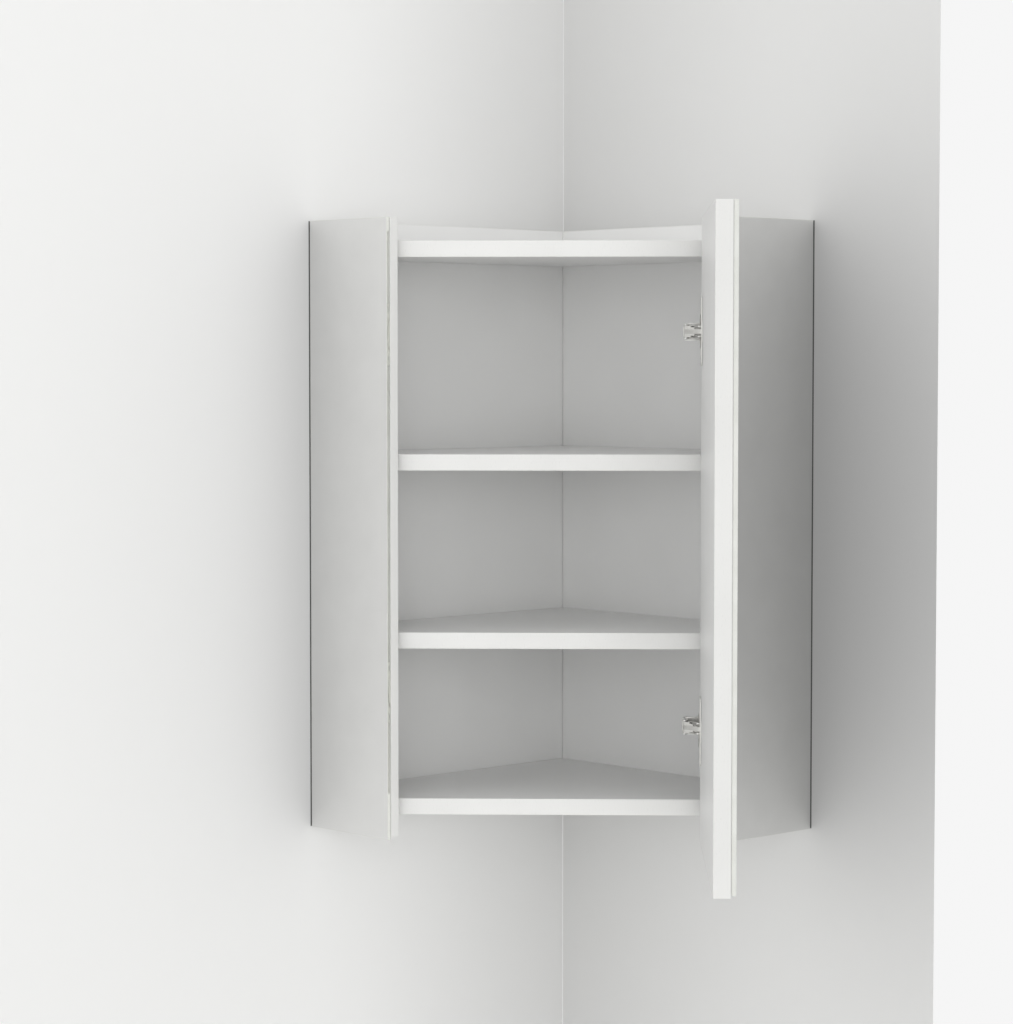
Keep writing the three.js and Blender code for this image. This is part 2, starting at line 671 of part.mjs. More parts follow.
// ---- Mounting plate, in the carcass frame on the right side's inner face ----
function mountingPlate() {
  const place = new THREE.Matrix4().makeBasis(point(0, -1, 0), up, point(-1, 0, 0))
    .setPosition(sideInner - seatGap, -plateFromWall, 0);
  const lie = (shape, low, high) => {
    const geometry = new THREE.ExtrudeGeometry(shape, { depth: high - low, bevelEnabled: false, curveSegments: 8 });
    return toSolid(geometry.translate(0, 0, low).applyMatrix4(place));
  };
  const bossTop = armRise - armSheet - seatGap - bossClearance;
  let plate = lie(roundedRectangle(plateLength, plateHeight, plateRound), 0, plateThickness)
    .add(lie(roundedRectangle(bossLength, 2 * bossHalfHeight, 2), 0.5, bossTop));
  for (const way of [-1, 1]) {
    plate = plate.subtract(rod(screwRadius + pinClearance, plateThickness + 2,
      point(sideInner + 1, -plateFromWall, way * plateScrewSpacing / 2), point(-1, 0, 0)));
  }
  plate = plate.subtract(rod(armScrewRadius + pinClearance, armScrewLength + 0.5, armScrewStart(0), point(1, 0, 0)));
  return plate;
}

function plateScrewStart(way, z) {
  return point(sideInner - seatGap - plateThickness - 0.1, -plateFromWall, z + way * plateScrewSpacing / 2);
}

function drillPlateScrews(board) {
  let drilled = board;
  for (const z of Object.values(hingeHeights)) {
    for (const way of [-1, 1]) {
      drilled = drilled.subtract(rod(screwRadius + pinClearance, plateScrewLength,
        plateScrewStart(way, z), point(1, 0, 0), 12));
    }
  }
  return drilled;
}

// ---- Door ----
function addDoor() {
  let board = uprightBoard(doorWidth, height, doorThickness, edgeRound,
    point(openFaceX, openEndY - doorWidth, 0), point(0, 1, 0));
  for (const z of Object.values(hingeHeights)) {
    const axis = point(openFaceX - 1, openEndY - cupInset, z);
    board = board.subtract(rod(cupRadius + boreClearance, cupDepth + 1.6, axis, intoDoor, 40));
    for (const way of [-1, 1]) {
      const start = cupScrewStart(way).add(point(0, 0, z));
      board = board.subtract(rod(screwRadius + pinClearance, cupScrewLength + 0.5, start, intoDoor, 12));
    }
  }
  cabinet.add(toMesh('door_board', board, whiteBoard));
  const glass = uprightBoard(doorWidth, height - doorMirrorLift, mirrorThickness, glassRound,
    point(openFaceX + doorThickness + glueGap, openEndY - doorWidth, doorMirrorLift), point(0, 1, 0));
  cabinet.add(toMesh('door_mirror', glass, mirrorGlass));
}

function addHinges() {
  for (const [level, z] of Object.entries(hingeHeights)) {
    const add = (name, solid, material) => {
      cabinet.add(toMesh(`${name}_${level}`, solid.translate([0, 0, z]), material));
    };
    add('hinge_cup', cup(), nickelSteel);
    add('hinge_arm', arm(), nickelSteel);
    add('hinge_outer_link', outerLink(), nickelSteel);
    add('hinge_inner_link', innerLink(), nickelSteel);
    add('arm_pin_outer', armPin(outer.armPin), zincSteel);
    add('arm_pin_inner', armPin(inner.armPin), zincSteel);
    add('cup_pin', cupPin(inner.cupPin), zincSteel);
    carcass.add(toMesh(`mounting_plate_${level}`, mountingPlate().translate([0, 0, z]), nickelSteel));
    carcass.add(toMesh(`arm_screw_${level}`, armScrew(z), zincSteel));
    for (const [end, way] of [['bottom', -1], ['top', 1]]) {
      add(`cup_screw_${end}`, cupScrew(cupScrewStart(way)), zincSteel);
      const plateScrew = woodScrew(plateScrewLength, plateScrewStart(way, z), point(1, 0, 0));
      carcass.add(toMesh(`plate_screw_${end}_${level}`, plateScrew, zincSteel));
    }
  }
}

addBacks();
addSides();
addPanels();
addDowels();
addDoor();
addHinges();
cabinet.updateMatrixWorld(true);

export default cabinet;
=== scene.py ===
"""Looks of a white corner wall cabinet with mirror glass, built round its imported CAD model."""

import math

import bmesh
import bpy
from mathutils import Matrix, Vector


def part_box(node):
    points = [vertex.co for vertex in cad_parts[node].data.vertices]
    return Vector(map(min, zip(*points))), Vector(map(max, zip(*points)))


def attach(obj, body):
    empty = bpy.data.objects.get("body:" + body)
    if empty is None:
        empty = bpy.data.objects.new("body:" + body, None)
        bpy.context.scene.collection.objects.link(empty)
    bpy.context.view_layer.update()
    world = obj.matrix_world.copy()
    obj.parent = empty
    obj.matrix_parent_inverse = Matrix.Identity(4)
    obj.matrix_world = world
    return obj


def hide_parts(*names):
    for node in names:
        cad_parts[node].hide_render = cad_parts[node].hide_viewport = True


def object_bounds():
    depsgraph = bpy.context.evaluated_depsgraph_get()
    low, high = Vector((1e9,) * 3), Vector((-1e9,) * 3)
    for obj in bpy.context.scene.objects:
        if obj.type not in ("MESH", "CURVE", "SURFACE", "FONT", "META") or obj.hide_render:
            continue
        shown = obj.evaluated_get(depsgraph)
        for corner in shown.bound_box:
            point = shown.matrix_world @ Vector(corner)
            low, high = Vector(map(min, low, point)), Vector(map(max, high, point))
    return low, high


bl_info = {
    "name": "Corner Wall Cabinet",
    "version": (1, 0, 0),
    "blender": (4, 5, 0),
    "location": "View3D > Sidebar > Cabinet",
    "description": "Builds the boards, mirror glass, hinges and fixings of a corner wall cabinet",
    "category": "Add Mesh",
}

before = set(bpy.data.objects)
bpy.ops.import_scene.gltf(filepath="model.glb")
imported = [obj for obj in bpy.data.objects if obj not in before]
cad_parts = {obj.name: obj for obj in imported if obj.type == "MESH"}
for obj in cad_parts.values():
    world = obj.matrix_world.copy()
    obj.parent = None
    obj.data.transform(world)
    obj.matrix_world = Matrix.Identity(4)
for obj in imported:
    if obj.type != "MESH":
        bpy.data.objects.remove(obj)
CAD_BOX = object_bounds()

MM = 0.001
HALF = math.sqrt(0.5)

# The directions in which the room's two walls run from the corner. The side mirrors face them too.
WALL_RUN = {"left": Vector((-HALF, -HALF, 0)), "right": Vector((HALF, -HALF, 0))}
# The way each wall faces.
INTO_ROOM = {"left": Vector((HALF, -HALF, 0)), "right": Vector((-HALF, -HALF, 0))}
# The way the open door's mirror faces, in which the cups' screws run into its board.
DOOR_FACES = Vector((1, 0, 0))

PANELS = ("top_panel", "bottom_panel", "upper_shelf", "lower_shelf")
UPRIGHTS = ("back_panel_left", "back_panel_right", "side_board_left", "side_board_right")
LEVELS = ("lower", "upper")
# The finish that goes with the material slot of a metal part or a dowel.
FINISH = {
    "nickel_steel": "bright_nickel_on_pressed_steel",
    "zinc_steel": "blue_passivated_zinc",
    "beech": "raw_turned_beech",
}

# The gap between a mirror and its board, and the air left on either face of its adhesive.
ADHESIVE_MM = 0.3
ADHESIVE_AIR_MM = 0.01
# The radius that stamping leaves on the hangers' edges.
HANGER_EDGE_MM = 0.2
# How far the backdrop's walls stand behind the cabinet's wall faces.
WALL_AIR_MM = 0.2

# Corners of CAD triangles that are closer than this are one, and faces that turn by less are flat.
MERGE_MM = 0.002
FLAT_DEGREES = 0.5
# An edge that turns by more than this is rounded.
SHARP_DEGREES = 35
# An edge that turns by less than this is shaded smooth: on metal, and on boards and panes.
METAL_SMOOTH_DEGREES = 32
PANEL_SMOOTH_DEGREES = 50
# The least cosine between a face and a board's broad side, and between a face and a pane's front.
BROAD_SIDE_COSINE = 0.97
PANE_FACE_COSINE = 0.99

# Where noise is darkest and lightest in practice, so that a ramp shows both of its colours.
TINT_ENDS = (0.3, 0.7)

# The sky's glow falls off as this power of the cosine from straight in front of the cabinet.
GLOW_POWER = 12
# Painted shade: the walls' paint starts to turn greyer this far from the corner, in metres along
# X, 0.35 m of wall.
CORNER_PAINTED_SHADE_REACH = 0.25
# How often light is thrown back by matt surfaces.
DIFFUSE_BOUNCES = 3
# The photograph's width in pixels, and the width of the camera's sensor.
PHOTO_WIDTH = 1013
SENSOR_MM = 36


# ---------------------------------------------------------------- colours and nodes


def linear(hex_colour):
    """An sRGB hex colour such as "#E9E9E7" as linear RGBA."""
    channels = [int(hex_colour[i:i + 2], 16) / 255 for i in (1, 3, 5)]
    return [c / 12.92 if c <= 0.04045 else ((c + 0.055) / 1.055) ** 2.4 for c in channels] + [1.0]


def add_node(tree, kind, inputs=None, **settings):
    """Adds a node, sets its properties, and fills its inputs with values or links."""
    node = tree.nodes.new(kind)
    for key, value in settings.items():
        setattr(node, key, value)
    for key, value in (inputs or {}).items():
        if isinstance(value, bpy.types.NodeSocket):
            tree.links.new(value, node.inputs[key])
        else:
            node.inputs[key].default_value = value
    return node


def math_node(tree, operation, a, b=0.0):
    """The result of one sum."""
    return add_node(tree, "ShaderNodeMath", {0: a, 1: b}, operation=operation).outputs["Value"]


def new_material(name):
    """Makes a material with a Principled shader on its output, and gives its tree and shader."""
    material = bpy.data.materials.new(name)
    material.use_nodes = True
    tree = material.node_tree
    tree.nodes.clear()
    shader = add_node(tree, "ShaderNodeBsdfPrincipled")
    add_node(tree, "ShaderNodeOutputMaterial", {"Surface": shader.outputs["BSDF"]})
    return tree, shader


def noise(tree, size_mm, detail, stretch=(1, 1, 1)):
    """Noise on Object coordinates whose features are about size_mm across."""
    place = add_node(tree, "ShaderNodeTexCoord").outputs["Object"]
    mapping = add_node(tree, "ShaderNodeMapping", {"Vector": place, "Scale": stretch})
    return add_node(tree, "ShaderNodeTexNoise", {
        "Vector": mapping.outputs["Vector"], "Scale": 1 / (size_mm * MM), "Detail": detail,
    }).outputs["Fac"]


def tint(tree, factor, dark, light, ends=TINT_ENDS):
    """A colour ramp between two hex colours."""
    ramp = add_node(tree, "ShaderNodeValToRGB", {"Fac": factor})
    for stop, end, colour in zip(ramp.color_ramp.elements, ends, (dark, light)):
        stop.color = linear(colour)
        stop.position = end
    return ramp.outputs["Color"]


def spread(tree, factor, low, high):
    """A number that runs between two limits with the factor."""
    return add_node(tree, "ShaderNodeMapRange", {
        "Value": factor, "To Min": low, "To Max": high,
    }).outputs["Result"]


def bump(tree, height, depth_mm, strength):
    """A normal raised by a height of up to depth_mm."""
    return add_node(tree, "ShaderNodeBump", {
        "Height": height, "Distance": depth_mm * MM, "Strength": strength,
    }).outputs["Normal"]


def dress(tree, shader, colour, roughness, normal=None):
    """Links a shader to the colour, roughness and normal that vary over its surface."""
    tree.links.new(colour, shader.inputs["Base Color"])
    tree.links.new(roughness, shader.inputs["Roughness"])
    if normal:
        tree.links.new(normal, shader.inputs["Normal"])


# ---------------------------------------------------------------- materials


def melamine_material(name, shade, colour):
    """Melamine foil on chipboard, pressed against a fine pearl plate."""
    # Pressed foil is a hard satin white. Its pearl is about 1 mm across, so it only breaks up the
    # edges of a reflection, and the board under it makes a slow waviness.
    tree, shader = new_material(name)
    pearl = noise(tree, 1.2, 3.0)
    cloud = noise(tree, 90, 1.0)
    dress(tree, shader, tint(tree, cloud, shade, colour), spread(tree, pearl, 0.34, 0.44),
          bump(tree, pearl, 0.02, 0.25))


def edging_material(name, shade, colour):
    """ABS edging, extruded smooth and trimmed flush."""
    # Edging is a shade greyer and glossier than the foil, with scrape marks along it from the
    # trimming knife, drawn 4 mm long and 0.5 mm wide.
    tree, shader = new_material(name)
    scrape = noise(tree, 0.5, 2.0, (1, 1, 0.12))
    cloud = noise(tree, 60, 1.0)
    dress(tree, shader, tint(tree, cloud, shade, colour), spread(tree, scrape, 0.24, 0.34),
          bump(tree, scrape, 0.01, 0.2))


def silvered_face_material(look):
    """The face of a silvered float-glass mirror."""
    # The silver lies behind clear glass, so the face is a near-perfect metal reflection that loses
    # a little light to the glass. Float glass is flat to a few hundredths of a millimetre.
    tree, shader = new_material("silvered_float_glass")
    wave = noise(tree, 120, 0.0)
    film = noise(tree, 30, 3.0)
    shader.inputs["Metallic"].default_value = 1.0
    dress(tree, shader, tint(tree, film, look.mirror_shade, look.mirror_colour),
          spread(tree, film, 0.015, 0.03), bump(tree, wave, 0.03, 0.05))


def polished_edge_material(look):
    """The polished edge of the mirror glass."""
    # Light that enters a polished edge is thrown back inside the glass, so the edge looks like a
    # strip of mirror, a little green. The wheel leaves faint marks, about 0.4 mm apart, along it.
    tree, shader = new_material("polished_glass_edge")
    wheel = noise(tree, 0.4, 2.0, (1, 1, 0.1))
    cloud = noise(tree, 25, 2.0)
    shader.inputs["Metallic"].default_value = 0.95
    dress(tree, shader, tint(tree, cloud, look.glass_edge_shade, look.glass_edge_colour),
          spread(tree, wheel, 0.03, 0.06), bump(tree, wheel, 0.001, 0.04))


def backing_paint_material():
    """The protective paint on the back of the silvering."""
    # Curtain-coated grey paint: matt, with a fine even grain.
    tree, shader = new_material("curtain_coated_mirror_paint")
    grain = noise(tree, 0.8, 2.0)
    dress(tree, shader, tint(tree, grain, "#7C807F", "#8A8E8D"), spread(tree, grain, 0.55, 0.7))


def adhesive_material():
    """White neutral-cure mirror adhesive."""
    # Cured adhesive is a matt white rubber. Its squeezed-out edge is slightly lumpy, every 2 mm.
    tree, shader = new_material("white_mirror_adhesive")
    lump = noise(tree, 2, 2.0)
    dress(tree, shader, tint(tree, lump, "#E6E6E2", "#EEEEEA"), spread(tree, lump, 0.5, 0.65))


def nickel_material(look):
    """Bright nickel plate on pressed steel."""
    # Nickel is a warm, very bright metal. The pressing leaves drawn lines under the plate, 0.3 mm
    # apart, and handling leaves a faint film.
    tree, shader = new_material(FINISH["nickel_steel"])
    drawn = noise(tree, 0.3, 2.0, (1, 1, 0.08))
    film = noise(tree, 9, 3.0)
    shader.inputs["Metallic"].default_value = 1.0
    dress(tree, shader, tint(tree, film, look.nickel_shade, look.nickel_colour),
          spread(tree, film, 0.2, 0.3), bump(tree, drawn, 0.006, 0.2))


def zinc_material():
    """Blue-passivated zinc plate on turned and pressed steel."""
    # Barrel-plated zinc is a cooler and duller metal than nickel, blotched by the passivation.
    tree, shader = new_material(FINISH["zinc_steel"])
    blotch = noise(tree, 2.5, 3.0)
    shader.inputs["Metallic"].default_value = 1.0
    dress(tree, shader, tint(tree, blotch, "#B4B7B9", "#CDCFD0"), spread(tree, blotch, 0.26, 0.42))


def beech_material():
    """Raw turned beech."""
    # Beech is a pinkish tan with short dark flecks about 2 mm long, and matt where it is fluted.
    tree, shader = new_material(FINISH["beech"])
    fleck = noise(tree, 0.7, 3.0, (1, 1, 0.4))
    dress(tree, shader, tint(tree, fleck, "#BE9468", "#D9B98E"), spread(tree, fleck, 0.6, 0.75))


def paint_material(name, colour):
    """Matt emulsion paint on the stage's walls and floor. Gives its tree and shader."""
    # Rolled emulsion is dead matt, with a stipple about 3 mm across.
    tree, shader = new_material(name)
    stipple = noise(tree, 3, 2.0)
    shader.inputs["Base Color"].default_value = linear(colour)
    shader.inputs["Specular IOR Level"].default_value = 0.1
    tree.links.new(spread(tree, stipple, 0.85, 0.95), shader.inputs["Roughness"])
    return tree, shader


def see_through_from_behind(tree):
    """Lets rays that meet the surface from behind pass, so that the object shows from any side."""
    output = next(n for n in tree.nodes if n.type == "OUTPUT_MATERIAL")
    painted = output.inputs["Surface"].links[0].from_socket
    behind = add_node(tree, "ShaderNodeNewGeometry").outputs["Backfacing"]
    clear = add_node(tree, "ShaderNodeBsdfTransparent").outputs["BSDF"]
    mix = add_node(tree, "ShaderNodeMixShader", {0: behind, 1: painted, 2: clear})
    tree.links.new(mix.outputs["Shader"], output.inputs["Surface"])


def wall_paint_and_painted_shade_material(side, colour, corner_painted_shade):
    """A wall's paint, with painted shade: it turns softly to a greyer colour as it nears the
    room's corner.
    """
    tree, shader = paint_material(f"wall_emulsion_and_painted_shade_{side}", colour)
    place = add_node(tree, "ShaderNodeTexCoord").outputs["Object"]
    across = add_node(tree, "ShaderNodeSeparateXYZ", {"Vector": place}).outputs["X"]
    away = add_node(tree, "ShaderNodeMapRange", {
        "Value": math_node(tree, "ABSOLUTE", across), "From Min": 0.0,
        "From Max": CORNER_PAINTED_SHADE_REACH,
    }, interpolation_type="SMOOTHSTEP").outputs["Result"]
    # painted shade: the paint turns to the corner's greyer colour near the room's corner
    tree.links.new(tint(tree, away, corner_painted_shade, colour, (0, 1)), shader.inputs["Base Color"])
    see_through_from_behind(tree)


def made_material(name):
    """A finished material by the name it was made with."""
    return bpy.data.materials[name]


# ---------------------------------------------------------------- pieces


def new_object(name, data):
    """Puts a mesh, a lamp or a camera in the scene."""
    item = bpy.data.objects.new(name, data)
    bpy.context.collection.objects.link(item)
    return item


def put(piece, body, nodes):
    """Hands a finished piece to its body and the nodes it stands for."""
    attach(piece, body)
    if nodes:
        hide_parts(*nodes)


def merged_copy(node):
    """A CAD node's mesh with its loose triangles joined into flat faces."""
    mesh = bmesh.new()
    mesh.from_mesh(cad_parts[node].data)
    bmesh.ops.remove_doubles(mesh, verts=mesh.verts, dist=MERGE_MM * MM)
    bmesh.ops.dissolve_limit(mesh, angle_limit=math.radians(FLAT_DEGREES),
                             verts=mesh.verts, edges=mesh.edges)
    return mesh


def soften(mesh, radius_mm):
    """Rounds the edges where the surface turns sharply."""
    limit = math.radians(SHARP_DEGREES)
    sharp = [e for e in mesh.edges if len(e.link_faces) == 2 and e.calc_face_angle(0) > limit]
    bmesh.ops.bevel(mesh, geom=sharp, offset=radius_mm * MM, segments=2, profile=0.5,
                    affect="EDGES", clamp_overlap=True)


def finish_object(mesh, name, materials, smooth_below=METAL_SMOOTH_DEGREES):
    """Makes an object of the mesh, smooth where it turns by less than smooth_below degrees."""
    limit = math.radians(smooth_below)
    for face in mesh.faces:
        face.smooth = True
    for edge in mesh.edges:
        edge.smooth = len(edge.link_faces) == 2 and edge.calc_face_angle(0) < limit
    data = bpy.data.meshes.new(name)
    mesh.to_mesh(data)
    mesh.free()
    for item in materials:
        data.materials.append(made_material(item))
    piece = new_object(name, data)
    # broad faces keep their own normals, and the narrow roundings beside them take up the turn
    weighted = piece.modifiers.new("flat_faces", "WEIGHTED_NORMAL")
    weighted.keep_sharp = True
    weighted.weight = 100
    return piece


def board_piece(node, body, foil, edging):
    """A melamine board whose narrow faces are edged."""
    mesh = merged_copy(node)
    broad = max(mesh.faces, key=lambda face: face.calc_area()).normal.copy()
    for face in mesh.faces:
        face.material_index = 0 if abs(face.normal.dot(broad)) > BROAD_SIDE_COSINE else 1
    piece = finish_object(mesh, f"{node}_board", (foil, edging), PANEL_SMOOTH_DEGREES)
    put(piece, body, [node])


def pane_piece(node, body, outward, arris_mm):
    """A mirror pane: silvered face, polished edge and painted back."""
    materials = ("silvered_float_glass", "polished_glass_edge", "curtain_coated_mirror_paint")
    front, edge, back = range(len(materials))
    mesh = merged_copy(node)
    soften(mesh, arris_mm)
    for face in mesh.faces:
        facing = face.normal.dot(outward)
        face.material_index = (front if facing > PANE_FACE_COSINE
                               else back if facing < -PANE_FACE_COSINE else edge)
    piece = finish_object(mesh, f"{node}_pane", materials, PANEL_SMOOTH_DEGREES)
    put(piece, body, [node])


def adhesive_piece(node, body, outward):
    """The sheet of adhesive between a pane and its board, as large as the pane's flat back."""
    pane = merged_copy(node)
    back = min(pane.faces, key=lambda face: face.normal.dot(outward) * face.calc_area())
    sheet = bmesh.new()
    near, far = ([sheet.verts.new(v.co - outward * depth * MM) for v in back.verts]
                 for depth in (ADHESIVE_AIR_MM, ADHESIVE_MM - ADHESIVE_AIR_MM))
    sheet.faces.new(near)
    sheet.faces.new(far[::-1])
    for i in range(len(near)):
        sheet.faces.new((near[i - 1], far[i - 1], far[i], near[i]))
    pane.free()
    bmesh.ops.recalc_face_normals(sheet, faces=sheet.faces)
    piece = finish_object(sheet, f"{node}_adhesive", ("white_mirror_adhesive",))
    put(piece, body, [])


def pressed_piece(node, body, slot, edge_mm):
    """A metal part with the soft edges that pressing or turning leaves."""
    mesh = merged_copy(node)
    soften(mesh, edge_mm)
    put(finish_object(mesh, f"{node}_metal", (FINISH[slot],)), body, [node])


# ---------------------------------------------------------------- fixings by Geometry Nodes


def fixing_tree(name, sizes_mm):
    """A tree that takes points with an "aim" and puts one fixing on each."""
    tree = bpy.data.node_groups.new(name, "GeometryNodeTree")
    interface = tree.interface
    interface.new_socket("Geometry", in_out="INPUT", socket_type="NodeSocketGeometry")
    for size, value in sizes_mm.items():
        socket = interface.new_socket(size, in_out="INPUT", socket_type="NodeSocketFloat")
        socket.default_value = value * MM
        socket.subtype = "DISTANCE"
    interface.new_socket("Finish", in_out="INPUT", socket_type="NodeSocketMaterial")
    interface.new_socket("Geometry", in_out="OUTPUT", socket_type="NodeSocketGeometry")
    return tree, add_node(tree, "NodeGroupInput").outputs


def moved(tree, geometry, z):
    """Geometry moved along Z."""
    offset = add_node(tree, "ShaderNodeCombineXYZ", {"Z": z}).outputs["Vector"]
    return add_node(tree, "GeometryNodeTransform", {
        "Geometry": geometry, "Translation": offset,
    }).outputs["Geometry"]


def on_points(tree, given, shape):
    """Ends a tree: the shape on every point, turned to its aim, realised and finished."""
    aim = add_node(tree, "GeometryNodeInputNamedAttribute", {"Name": "aim"},
                   data_type="FLOAT_VECTOR")
    turn = add_node(tree, "FunctionNodeAlignRotationToVector", {
        "Vector": aim.outputs["Attribute"],
    }, axis="Z")
    instances = add_node(tree, "GeometryNodeInstanceOnPoints", {
        "Points": given["Geometry"], "Instance": shape, "Rotation": turn.outputs["Rotation"],
    })
    real = add_node(tree, "GeometryNodeRealizeInstances", {
        "Geometry": instances.outputs["Instances"],
    })
    finished = add_node(tree, "GeometryNodeSetMaterial", {
        "Geometry": real.outputs["Geometry"], "Material": given["Finish"],
    })
    add_node(tree, "NodeGroupOutput", {"Geometry": finished.outputs["Geometry"]})


def screw_tree():
    """A screw with a cross recess. Its head ends at Z = 0 and its shank runs along +Z."""
    # the recess in parts of the face's radius and the head's height, and the tip in the shank's
    recess_reach, recess_width, recess_depth, tip = 1.3, 0.34, 1.5, 0.5
    head_sides, shank_sides = 28, 16
    shank_in_head = 0.1 * MM
    tree, given = fixing_tree("cross_head_screw", {
        "Seat radius": 3.6, "Face radius": 2.6, "Head height": 1.5,
        "Shank radius": 1.7, "Shank length": 9,
    })
    back = math_node(tree, "MULTIPLY", given["Head height"], -1.0)
    head = moved(tree, add_node(tree, "GeometryNodeMeshCone", {
        "Vertices": head_sides, "Radius Top": given["Seat radius"],
        "Radius Bottom": given["Face radius"], "Depth": given["Head height"],
    }).outputs["Mesh"], back)
    arms = []
    for wide, narrow in ((recess_reach, recess_width), (recess_width, recess_reach)):
        size = add_node(tree, "ShaderNodeCombineXYZ", {
            "X": math_node(tree, "MULTIPLY", given["Face radius"], wide),
            "Y": math_node(tree, "MULTIPLY", given["Face radius"], narrow),
            "Z": math_node(tree, "MULTIPLY", given["Head height"], recess_depth),
        }).outputs["Vector"]
        arm = add_node(tree, "GeometryNodeMeshCube", {"Size": size}).outputs["Mesh"]
        arms.append(moved(tree, arm, back))
    recessed = add_node(tree, "GeometryNodeMeshBoolean", {"Mesh 1": head}, operation="DIFFERENCE")
    for arm in arms:
        tree.links.new(arm, recessed.inputs["Mesh 2"])
    shank = add_node(tree, "GeometryNodeMeshCone", {
        "Vertices": shank_sides, "Depth": given["Shank length"],
        "Radius Top": math_node(tree, "MULTIPLY", given["Shank radius"], tip),
        "Radius Bottom": given["Shank radius"],
    }).outputs["Mesh"]
    join = add_node(tree, "GeometryNodeJoinGeometry")
    for part in (recessed.outputs["Mesh"], moved(tree, shank, -shank_in_head)):
        tree.links.new(part, join.inputs["Geometry"])
    on_points(tree, given, join.outputs["Geometry"])
    return tree


def dowel_tree():
    """A fluted dowel that runs along +Z from its point."""
    flutes, rings = 14, 6
    tree, given = fixing_tree("fluted_dowel", {"Radius": 3, "Length": 30, "Flute depth": 0.25})
    rod = add_node(tree, "GeometryNodeMeshCylinder", {
        "Vertices": 2 * flutes, "Side Segments": rings,
        "Radius": given["Radius"], "Depth": given["Length"],
    }, fill_type="TRIANGLE_FAN").outputs["Mesh"]
    index = add_node(tree, "GeometryNodeInputIndex").outputs["Index"]
    odd = math_node(tree, "MODULO", index, 2.0)
    inwards = math_node(tree, "MULTIPLY", given["Flute depth"], -1.0)
    depth = math_node(tree, "MULTIPLY", odd, inwards)
    normal = add_node(tree, "GeometryNodeInputNormal").outputs["Normal"]
    offset = add_node(tree, "ShaderNodeVectorMath", {0: normal, "Scale": depth}, operation="SCALE")
    fluted = add_node(tree, "GeometryNodeSetPosition", {
        "Geometry": rod, "Offset": offset.outputs["Vector"],
    }).outputs["Geometry"]
    start = moved(tree, fluted, math_node(tree, "MULTIPLY", given["Length"], 0.5))
    on_points(tree, given, start)
    return tree


def fixings_piece(name, tree, places, sizes_mm, body, slot, nodes):
    """One mesh of like fixings. Each place is a point and the way its shank runs."""
    points = bpy.data.meshes.new(f"{name}_points")
    points.from_pydata([point for point, _ in places], [], [])
    aims = points.attributes.new("aim", "FLOAT_VECTOR", "POINT")
    for index, (_, aim) in enumerate(places):
        aims.data[index].vector = aim
    maker = new_object(f"{name}_points", points)
    modifier = maker.modifiers.new("fixings", "NODES")
    modifier.node_group = tree
    for item in tree.interface.items_tree:
        if item.in_out == "INPUT" and item.name in sizes_mm:
            modifier[item.identifier] = sizes_mm[item.name] * MM
        if item.in_out == "INPUT" and item.name == "Finish":
            modifier[item.identifier] = made_material(FINISH[slot])
    shown = maker.evaluated_get(bpy.context.evaluated_depsgraph_get())
    result = bpy.data.meshes.new_from_object(shown)
    bpy.data.objects.remove(maker)
    bpy.data.meshes.remove(points)
    result.name = name
    put(new_object(name, result), body, nodes)


def rod_place(node, aim):
    """The end of a slim node that lies behind its aim, on its middle line."""
    low, high = (Vector(corner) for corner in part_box(node))
    middle = (low + high) / 2
    vertices = [v.co.dot(aim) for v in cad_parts[node].data.vertices]
    return middle + aim * (min(vertices) - middle.dot(aim))


def screws_piece(name, tree, body, aims, sizes_mm):
    """Like screws, whose heads lie in the nodes' ends. Each node is given with its aim."""
    head = sizes_mm["Head height"]
    places = [(rod_place(node, aim) + aim * head * MM, aim) for node, aim in aims.items()]
    fixings_piece(name, tree, places, sizes_mm, body, "zinc_steel", list(aims))


# ---------------------------------------------------------------- stage


def wall_plane(side, reach, low, high):
    """A wall of the room, open behind the cabinet's boards, and painted dark behind a mirror's end
    as painted shadow.
    """
    run = WALL_RUN[side]
    board_end, pane_end = (
        max(v.co.dot(run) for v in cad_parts[f"side_{kind}_{side}"].data.vertices)
        for kind in ("board", "mirror"))
    offset = -INTO_ROOM[side] * WALL_AIR_MM * MM
    columns = (0, board_end, pane_end, reach)
    rows = (low, CAD_BOX[0][2], CAD_BOX[1][2], high)
    mesh = bmesh.new()
    grid = [[mesh.verts.new(run * c + offset + Vector((0, 0, r))) for c in columns] for r in rows]
    for row, (lower, upper) in enumerate(zip(grid, grid[1:])):
        at_cabinet = row == 1
        for i in range(len(columns) - 1):
            behind_boards, painted_gap_shadow = at_cabinet and i == 0, at_cabinet and i == 1
            if behind_boards:
                continue
            face = mesh.faces.new((lower[i], lower[i + 1], upper[i + 1], upper[i]))
            # painted shadow: the wall behind a mirror's end takes the dark paint, in place of the
            # shade in the gap
            face.material_index = int(painted_gap_shadow)
            face.normal_update()
            if face.normal.dot(INTO_ROOM[side]) < 0:
                face.normal_flip()
    data = bpy.data.meshes.new(f"wall_{side}")
    mesh.to_mesh(data)
    mesh.free()
    for paint in (f"wall_emulsion_and_painted_shade_{side}", "wall_painted_gap_shadow"):
        data.materials.append(made_material(paint))
    new_object(f"wall_{side}", data)


def floor_plane(reach, drop):
    """The floor, which ends below the room's corner."""
    data = bpy.data.meshes.new("floor")
    corners = ((-reach, -reach), (reach, -reach), (reach, 0), (-reach, 0))
    data.from_pydata([(x, y, -drop) for x, y in corners], [], [(0, 1, 2, 3)])
    data.materials.append(made_material("floor_emulsion"))
    new_object("floor", data)


def key_lamp(place, target, size, watts):
    """A soft rectangular lamp that points at its target and isn't seen in the mirrors."""
    data = bpy.data.lights.new("key", "AREA")
    data.shape = "RECTANGLE"
    data.size, data.size_y = size
    data.energy = watts
    lamp = new_object("key", data)
    lamp.location = place
    lamp.rotation_euler = (target - Vector(place)).to_track_quat("-Z", "Y").to_euler()
    lamp.visible_glossy = False


